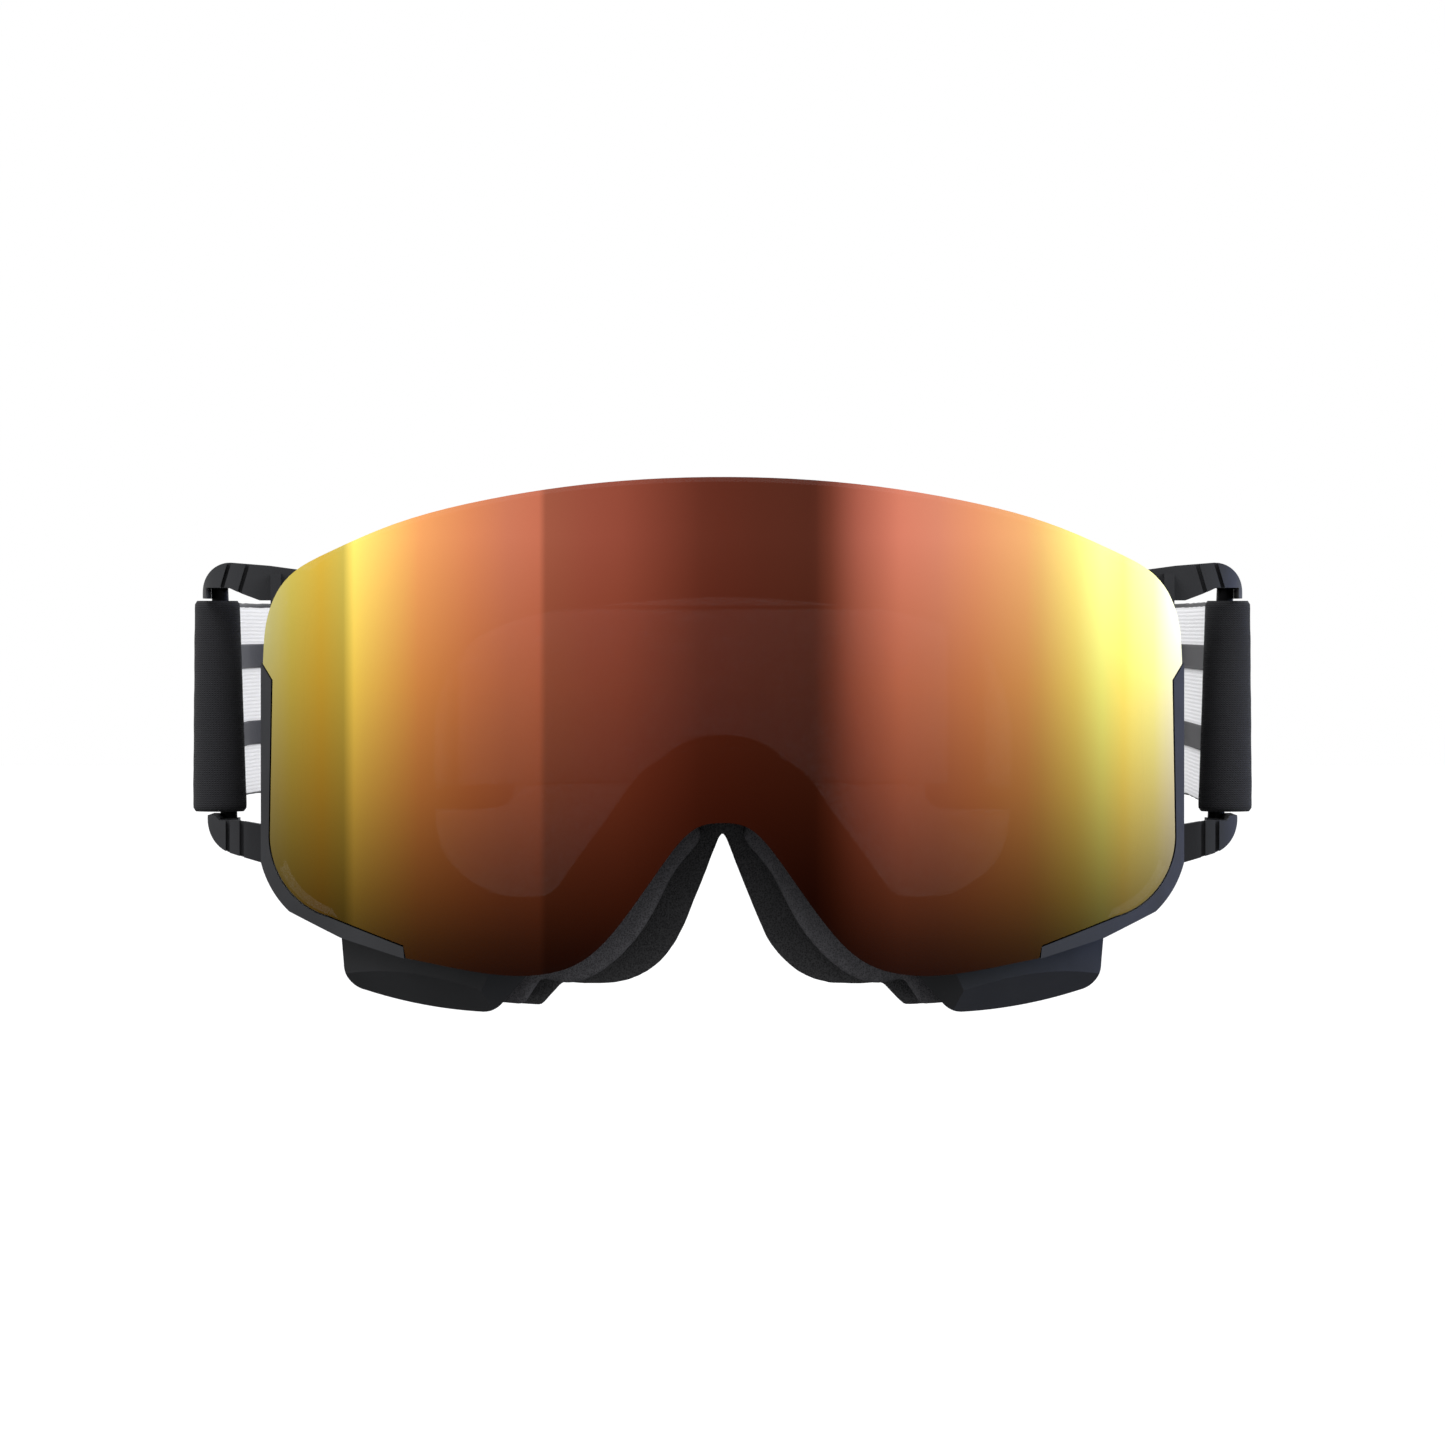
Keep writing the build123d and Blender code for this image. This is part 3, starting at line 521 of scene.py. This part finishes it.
def applied(source, name, modifiers):
    """A new object from source, with modifiers given as (type, settings) applied to its mesh."""
    work = bpy.data.objects.new(name, source.data.copy())
    work.matrix_world = source.matrix_world.copy()
    bpy.context.scene.collection.objects.link(work)
    for kind, settings in modifiers:
        modifier = work.modifiers.new(kind, kind)
        for key, value in settings.items():
            setattr(modifier, key, value)
    bpy.context.view_layer.update()
    shaped = work.evaluated_get(bpy.context.evaluated_depsgraph_get())
    mesh = bpy.data.meshes.new_from_object(shaped)
    mesh.transform(work.matrix_world)
    old = work.data
    work.modifiers.clear()
    work.data = mesh
    work.matrix_world.identity()
    bpy.data.meshes.remove(old)
    mesh.name = name
    return work


def lump_texture(size):
    """Soft clouds that move a foam's skin a little in and out."""
    clouds = bpy.data.textures.new(f"lumps_{size}", "CLOUDS")
    clouds.noise_scale = size
    clouds.noise_depth = 2
    return clouds


def soft_copy(node, name, material, voxel, rounds, swell):
    """A cut foam piece: the CAD solid re-skinned, its edges softened, its skin slightly uneven."""
    lumps = {"texture": lump_texture(0.006), "strength": swell, "mid_level": 0.5, "texture_coords": "LOCAL"}
    steps = [
        ("REMESH", {"mode": "VOXEL", "voxel_size": voxel, "use_smooth_shade": True}),
        ("SMOOTH", {"factor": 0.5, "iterations": rounds}),
        ("DISPLACE", lumps),
    ]
    piece = applied(NODES[node], name, steps)
    piece.data.materials.clear()
    piece.data.materials.append(material)
    piece.data.shade_smooth()
    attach(piece, "frame")
    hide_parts(node)
    return piece


def arc_points(centre, radius, start, end, count):
    """Points on an arc from the angle start to end, without the first."""
    turns = [start + (end - start) * i / count for i in range(1, count + 1)]
    return [(centre[0] + radius * cos(t), centre[1] + radius * sin(t)) for t in turns]


def line_points(start, end, count):
    """Points on a line, without the first."""
    return [
        (start[0] + (end[0] - start[0]) * i / count, start[1] + (end[1] - start[1]) * i / count)
        for i in range(1, count + 1)
    ]


class Route:
    """The strap's plan route at +X, shifted outwards, as stretches that a ribbon can be cut from."""

    def __init__(self, shift):
        start = (STRAP_START[0] + shift, STRAP_START[1])
        side_end = (STRAP_SIDE_END[0] + shift, STRAP_SIDE_END[1])
        heading = atan2(side_end[1] - start[1], side_end[0] - start[0])
        radius = STRAP_SIDE_RADIUS + shift
        bend = (side_end[0] - radius * sin(heading), side_end[1] + radius * cos(heading))
        turn = STRAP_REAR_ANGLE - pi / 2
        bend_end = (bend[0] + radius * cos(turn), bend[1] + radius * sin(turn))
        self.along = (cos(STRAP_REAR_ANGLE), sin(STRAP_REAR_ANGLE))
        self.outward = (cos(turn), sin(turn))
        self.straight_start = bend_end
        straight_end = self.station(STRAIGHT_LENGTH)
        rear_radius = straight_end[0] / sin(pi - STRAP_REAR_ANGLE)
        rear = (0.0, straight_end[1] - rear_radius * sin(turn))
        self.front = [start] + line_points(start, side_end, SIDE_STEPS)
        self.bend = arc_points(bend, radius, heading - pi / 2, turn, BEND_STEPS)
        self.straight = line_points(bend_end, straight_end, STRAIGHT_STEPS)
        self.rear = arc_points(rear, rear_radius, turn, pi - turn, REAR_STEPS)

    def station(self, distance, offset=0.0):
        """A point on the adjuster's straight stretch, offset away from the head."""
        return (
            self.straight_start[0] + self.along[0] * distance + self.outward[0] * offset,
            self.straight_start[1] + self.along[1] * distance + self.outward[1] * offset,
        )


def smooth_at(before, start, end, after, t):
    """The point at t on a smooth curve from start to end, with the points before and after them."""
    return tuple(
        0.5 * (2 * s + (e - b) * t + (2 * b - 5 * s + 4 * e - a) * t * t + (3 * s - b - 3 * e + a) * t**3)
        for b, s, e, a in zip(before, start, end, after)
    )


def resampled(points, step):
    """Even points along a smooth curve through the given ones, and its length."""
    dense = [points[0]]
    for i in range(len(points) - 1):
        before = points[max(i - 1, 0)]
        after = points[min(i + 2, len(points) - 1)]
        dense += [smooth_at(before, points[i], points[i + 1], after, k / 8) for k in range(1, 9)]
    lengths = [0.0]
    for one, two in zip(dense, dense[1:]):
        lengths.append(lengths[-1] + sqrt((two[0] - one[0]) ** 2 + (two[1] - one[1]) ** 2))
    count = max(2, round(lengths[-1] / step))
    even = []
    place = 0
    for i in range(count + 1):
        wanted = lengths[-1] * i / count
        while place < len(lengths) - 2 and lengths[place + 1] < wanted:
            place += 1
        span = lengths[place + 1] - lengths[place] or 1.0
        t = min(1.0, max(0.0, (wanted - lengths[place]) / span))
        even.append(tuple(dense[place][axis] * (1 - t) + dense[place + 1][axis] * t for axis in (0, 1)))
    return even, lengths[-1]


def ribbon(name, points, width, thickness, materials, way, middle=0.0, offset=0.0, ripple=0.00004):
    """Webbing along plan points: rounded selvedges, faintly uneven edges, UV in metres along and across.

    way mirrors it in X. The first material is for the outer face and the edges, the second for the inner
    face. Gives the object and the length of its run.
    """
    line, length = resampled(points, RIBBON_STEP)
    radius = thickness / 2
    half = width / 2 - radius
    rows = 14
    turns = [pi * i / 6 for i in range(1, 6)]
    section = [(radius, -half + 2 * half * i / rows) for i in range(rows + 1)]
    section += [(radius * cos(turn), half + radius * sin(turn)) for turn in turns]
    section += [(-radius, half - 2 * half * i / rows) for i in range(rows + 1)]
    section += [(-radius * cos(turn), -half - radius * sin(turn)) for turn in turns]
    around = len(section)
    vertices, uvs = [], []
    for i, (x, y) in enumerate(line):
        before, after = line[max(i - 1, 0)], line[min(i + 1, len(line) - 1)]
        run = Vector((after[0] - before[0], after[1] - before[1])).normalized()
        normal = (run.y, -run.x)
        along = length * i / (len(line) - 1)
        edge = 1 + ripple / half * (sin(along * 410) + 0.6 * sin(along * 930 + 1.3))
        for depth, z in section:
            out = depth + offset + 0.4 * ripple * sin(along * 330 + z * 260)
            vertices.append((way * (x + normal[0] * out), y + normal[1] * out, middle + z * edge))
            uvs.append((along, z))
    faces, inner = [], []
    for i in range(len(line) - 1):
        for k in range(around):
            a, b = i * around + k, i * around + (k + 1) % around
            faces.append((a, b, b + around, a + around) if way > 0 else (a + around, b + around, b, a))
            inner.append(rows + 5 < k < 2 * rows + 7)
    last = (len(line) - 1) * around
    for ring in (range(around - 1, -1, -1), range(last, last + around)):
        faces.append(tuple(ring) if way > 0 else tuple(reversed(ring)))
        inner.append(False)
    made = new_object(name, vertices, faces, materials)
    layer = made.data.uv_layers.new(name="UVMap")
    for polygon, is_inner in zip(made.data.polygons, inner):
        polygon.use_smooth = len(polygon.vertices) == 4
        polygon.material_index = 1 if is_inner and len(materials) > 1 else 0
        for loop in polygon.loop_indices:
            layer.data[loop].uv = uvs[made.data.loops[loop].vertex_index]
    return made, length


def stitches(name, places, direction, material, length=0.0022, radius=0.00022):
    """Short rounded threads laid at the given points, along direction, thinner towards their ends."""
    vertices, faces = [], []
    run = Vector(direction).normalized()
    across = run.cross(Vector((0, 0, 1)))
    across = across.normalized() if across.length > 0.1 else Vector((1, 0, 0))
    third = run.cross(across)
    for place in places:
        first = len(vertices)
        for t, size in ((-0.5, 0.3), (-0.38, 0.9), (0.0, 1.0), (0.38, 0.9), (0.5, 0.3)):
            for k in range(6):
                turn = k * pi / 3
                spread = across * cos(turn) + third * sin(turn)
                vertices.append(Vector(place) + run * (t * length) + spread * (radius * size))
        for ring in range(4):
            for k in range(6):
                a, b = first + ring * 6 + k, first + ring * 6 + (k + 1) % 6
                faces.append((a, b, b + 6, a + 6))
        faces.append(tuple(first + k for k in range(5, -1, -1)))
        faces.append(tuple(first + 24 + k for k in range(6)))
    return new_object(name, vertices, faces, [material])


def sleeve_section(z, count):
    """The folded webbing round the bar at one height, as a teardrop that narrows into the strap."""
    up = (z + STRAP_WIDTH / 2) / STRAP_WIDTH
    centre = SLEEVE_X + SLEEVE_LEAN * up
    half_x = SLEEVE_HALF_X - SLEEVE_TAPER * up
    points = []
    for i in range(count):
        t = i / count
        if t < 0.5:
            turn = pi + 2 * pi * t
            wave = 0.00003 * sin(z * 520 + 2.2 * cos(turn)) + 0.00002 * sin(z * 1130 + 3 * turn)
            points.append((centre + (half_x + wave) * cos(turn), SLEEVE_Y + SLEEVE_HALF_Y * sin(turn)))
        else:
            back = (t - 0.5) * 2
            side = 1 if back < 0.5 else -1
            reach = back * 2 if side > 0 else 2 - back * 2
            ease = reach * reach * (3 - 2 * reach)
            half = half_x * (1 - ease) + SLEEVE_END_HALF * ease
            x = centre * (1 - ease) + STRAP_START[0] * ease
            rounded = max(0.0, (reach - SLEEVE_ROUND_FROM) / (1 - SLEEVE_ROUND_FROM))
            close = sqrt(max(0.0, 1 - rounded**2))
            points.append((x + side * half * close, SLEEVE_Y + (SLEEVE_END_Y - SLEEVE_Y) * reach))
    return points


def sleeve(side, way, material):
    """The strap's sewn loop round the outrigger's bar, with a hole for the bar at each end."""
    count, levels = 56, 60
    half = STRAP_WIDTH / 2
    vertices, uvs, faces = [], [], []
    for level in range(levels + 1):
        z = -half + STRAP_WIDTH * level / levels
        edge = max(0.0, abs(z) - (half - SLEEVE_EDGE)) / SLEEVE_EDGE
        shrink = 1 - SLEEVE_EDGE_SHRINK * edge * edge
        section = sleeve_section(z, count)
        middle_x = sum(p[0] for p in section) / count
        middle_y = sum(p[1] for p in section) / count
        along = 0.0
        for i, (x, y) in enumerate(section):
            x, y = middle_x + (x - middle_x) * shrink, middle_y + (y - middle_y) * shrink
            vertices.append((way * x, y, z))
            uvs.append((along, z))
            after = section[(i + 1) % count]
            along += sqrt((after[0] - section[i][0]) ** 2 + (after[1] - section[i][1]) ** 2)
    for level in range(levels):
        for i in range(count):
            a, b = level * count + i, level * count + (i + 1) % count
            faces.append((a, b, b + count, a + count))
    for level, z in ((0, -half), (levels, half)):
        bar_x = BAR_X + BAR_LEAN * z / half
        rim = len(vertices)
        for inward in (0.0, -BAR_HOLE_DEPTH if z > 0 else BAR_HOLE_DEPTH):
            for i in range(count):
                turn = pi + 2 * pi * i / count
                x, y = bar_x + BAR_HOLE_RADIUS * cos(turn), BAR_Y + BAR_HOLE_RADIUS * sin(turn)
                vertices.append((way * x, y, z + inward))
                uvs.append((BAR_HOLE_RADIUS * turn, z))
        for i in range(count):
            j = (i + 1) % count
            outer_a, outer_b = level * count + i, level * count + j
            hole_a, hole_b = rim + i, rim + j
            quads = [(outer_a, outer_b, hole_b, hole_a), (hole_a, hole_b, hole_b + count, hole_a + count)]
            faces += quads if z > 0 else [tuple(reversed(q)) for q in quads]
    if way < 0:
        faces = [tuple(reversed(face)) for face in faces]
    made = new_object(f"sleeve_{side}", vertices, faces, [material])
    layer = made.data.uv_layers.new(name="UVMap")
    for loop in made.data.loops:
        layer.data[loop.index].uv = uvs[loop.vertex_index]
    return made


# ---------------------------------------------------------------- pieces
def hard_parts():
    """Materials on the CAD's lenses, mouldings, bars and adjusters."""
    give("outer_lens", mirror_coat())
    give("inner_lens", tinted_lens())
    give("lens_gasket", gasket_foam)
    # Keeps the gasket's skin off the lenses' own faces.
    pinch = NODES["lens_gasket"].modifiers.new("pinch", "DISPLACE")
    pinch.strength = -GASKET_PINCH
    pinch.mid_level = 0.0
    for node in ("frame_chassis", "lens_tabs"):
        give(node, frame_polymer)
    for side, _ in SIDES:
        for node in ("side_frame", "outrigger_link", "outrigger_bracket"):
            give(f"{node}_{side}", frame_polymer)
        give(f"cheek_guard_{side}", guard_polymer)
        give(f"strap_bar_{side}", bar_polymer)
        give(f"slider_{side}", slider_polymer)


def foam_parts():
    """The face foam's layers and the foam in the vents."""
    soft_copy("foam_spacer", "spacer_foam", grey_foam, 0.0008, 2, 0.0001)
    soft_copy("foam_face", "face_foam", dark_foam, 0.0007, 3, 0.0003)
    soft_copy("fleece_lining", "fleece_face", fleece, 0.0005, 8, 0.0002)
    for place in ("top", "left", "right"):
        soft_copy(f"vent_foam_{place}", f"vent_mesh_{place}", vent_foam, 0.0006, 2, 0.0001)


def seam(name, way, places, body):
    """Upright rows of stitches at plan points, fixed to one body."""
    heights = [STITCH_LOWEST + STITCH_PITCH * i for i in range(STITCH_COUNT)]
    rows = [(way * x, y, z) for x, y in places for z in heights]
    made = stitches(name, rows, (0, 0, 1), dark_thread)
    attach(made, body)


def strap_sleeve(side, way):
    """The sewn loop round the bar."""
    sewn = sleeve(side, way, cover)
    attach(sewn, f"outrigger_{side}")
    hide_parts(f"strap_sleeve_{side}")


def strap_band(side, way, shift, route):
    """The strap from its outrigger round the back to where the other side's sewn end begins."""
    lead = [(STRAP_START[0] + shift * 0.5, STRAP_LEAD_Y)]
    points = lead + route.front[1:] + route.bend + route.straight + route.rear[:BAND_REAR_STEPS]
    faces = [outer_weave, pale_weave]
    band, length = ribbon(f"strap_band_{side}", points, STRAP_WIDTH, STRAP_THICKNESS, faces, way)
    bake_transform(band)
    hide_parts(f"strap_{side}")


def grip_stripes(side, way, route):
    """Two plain stripes of silicone on the strap's inner face. The first stands for the CAD's node."""
    points = [p for p in route.front + route.bend if GRIP_LOW[1] <= p[1] <= GRIP_HIGH[1]]
    for number, middle in enumerate(GRIP_MIDDLES, 1):
        stripe, _ = ribbon(
            f"grip_stripe_{side}_{number}",
            points,
            GRIP_WIDTH,
            GRIP_THICKNESS,
            [grip_silicone],
            way,
            middle=middle,
            offset=-STRAP_THICKNESS / 2 - GRIP_LIFT,
            ripple=0.0,
        )
        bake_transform(stripe)
        if number == 1:
            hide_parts(f"grip_stripes_{side}")


def strap_end(side, way, shift):
    """The other strap's last stretch, turned round this side's adjuster and sewn down."""
    layer = Route(-shift)
    hook = [layer.station(distance, offset + shift) for distance, offset in TUCKS[side]]
    runout = [layer.station(distance) for distance in TUCK_RUNOUT]
    points = hook + runout + [layer.straight[-1]] + layer.rear[: REAR_STEPS - BAND_REAR_STEPS]
    faces = [outer_weave, pale_weave]
    end, length = ribbon(f"strap_end_{side}", points, STRAP_WIDTH, STRAP_THICKNESS, faces, way)
    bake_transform(end)
    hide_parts(f"strap_tail_{side}")
    hems = [layer.station(distance, STRAP_THICKNESS / 2) for distance in HEM_STATIONS]
    seam(f"hem_{side}", way, hems, f"adjuster_{side}")


lights_and_camera()
studio_card()
floor()

frame_polymer = polymer("frame_polymer", (0.026, 0.0265, 0.029), 0.48)
guard_polymer = polymer("guard_polymer", (0.017, 0.0175, 0.019), 0.48)
bar_polymer = polymer("bar_polymer", (0.004, 0.004, 0.0045), 0.45)
slider_polymer = polymer("slider_polymer", (0.010, 0.010, 0.011), 0.32, 0.15)
# Near black: painted shade for the dark band that shows through the lens along its edge.
gasket_foam = foam("gasket_foam", (0.008, 0.008, 0.008), 2600, 0.0001)
grey_foam = foam("grey_foam", (0.062, 0.061, 0.066), 3400, 0.00015)
dark_foam = foam("dark_foam", (0.044, 0.044, 0.046), 3000, 0.0002)
vent_foam = foam("vent_foam", (0.012, 0.012, 0.013), 900, 0.0005)
fleece = fleece_material()
cover = webbing("strap_cover", (0.007, 0.007, 0.008), (0.033, 0.0335, 0.037), 2400, 0.05)
outer_weave = webbing("strap_outer", (0.005, 0.005, 0.006), (0.022, 0.022, 0.025), 900)
pale_weave = webbing("strap_inner", (0.80, 0.80, 0.82), (0.90, 0.90, 0.92), 1300, 0.05)
dark_thread = thread("dark_thread", (0.03, 0.03, 0.032))
grip_silicone = silicone("grip_silicone", (0.011, 0.011, 0.013))

hard_parts()
foam_parts()
for side, way in SIDES:
    shift = -way * LAYER_SHIFT
    route = Route(shift)
    strap_sleeve(side, way)
    strap_band(side, way, shift, route)
    loop_seams = [(STRAP_START[0] + edge * LOOP_SEAM_OFFSET, y) for edge in (-1, 1) for y in LOOP_SEAM_Y]
    seam(f"loop_seam_{side}", way, loop_seams, f"outrigger_{side}")
    grip_stripes(side, way, route)
    strap_end(side, way, shift)
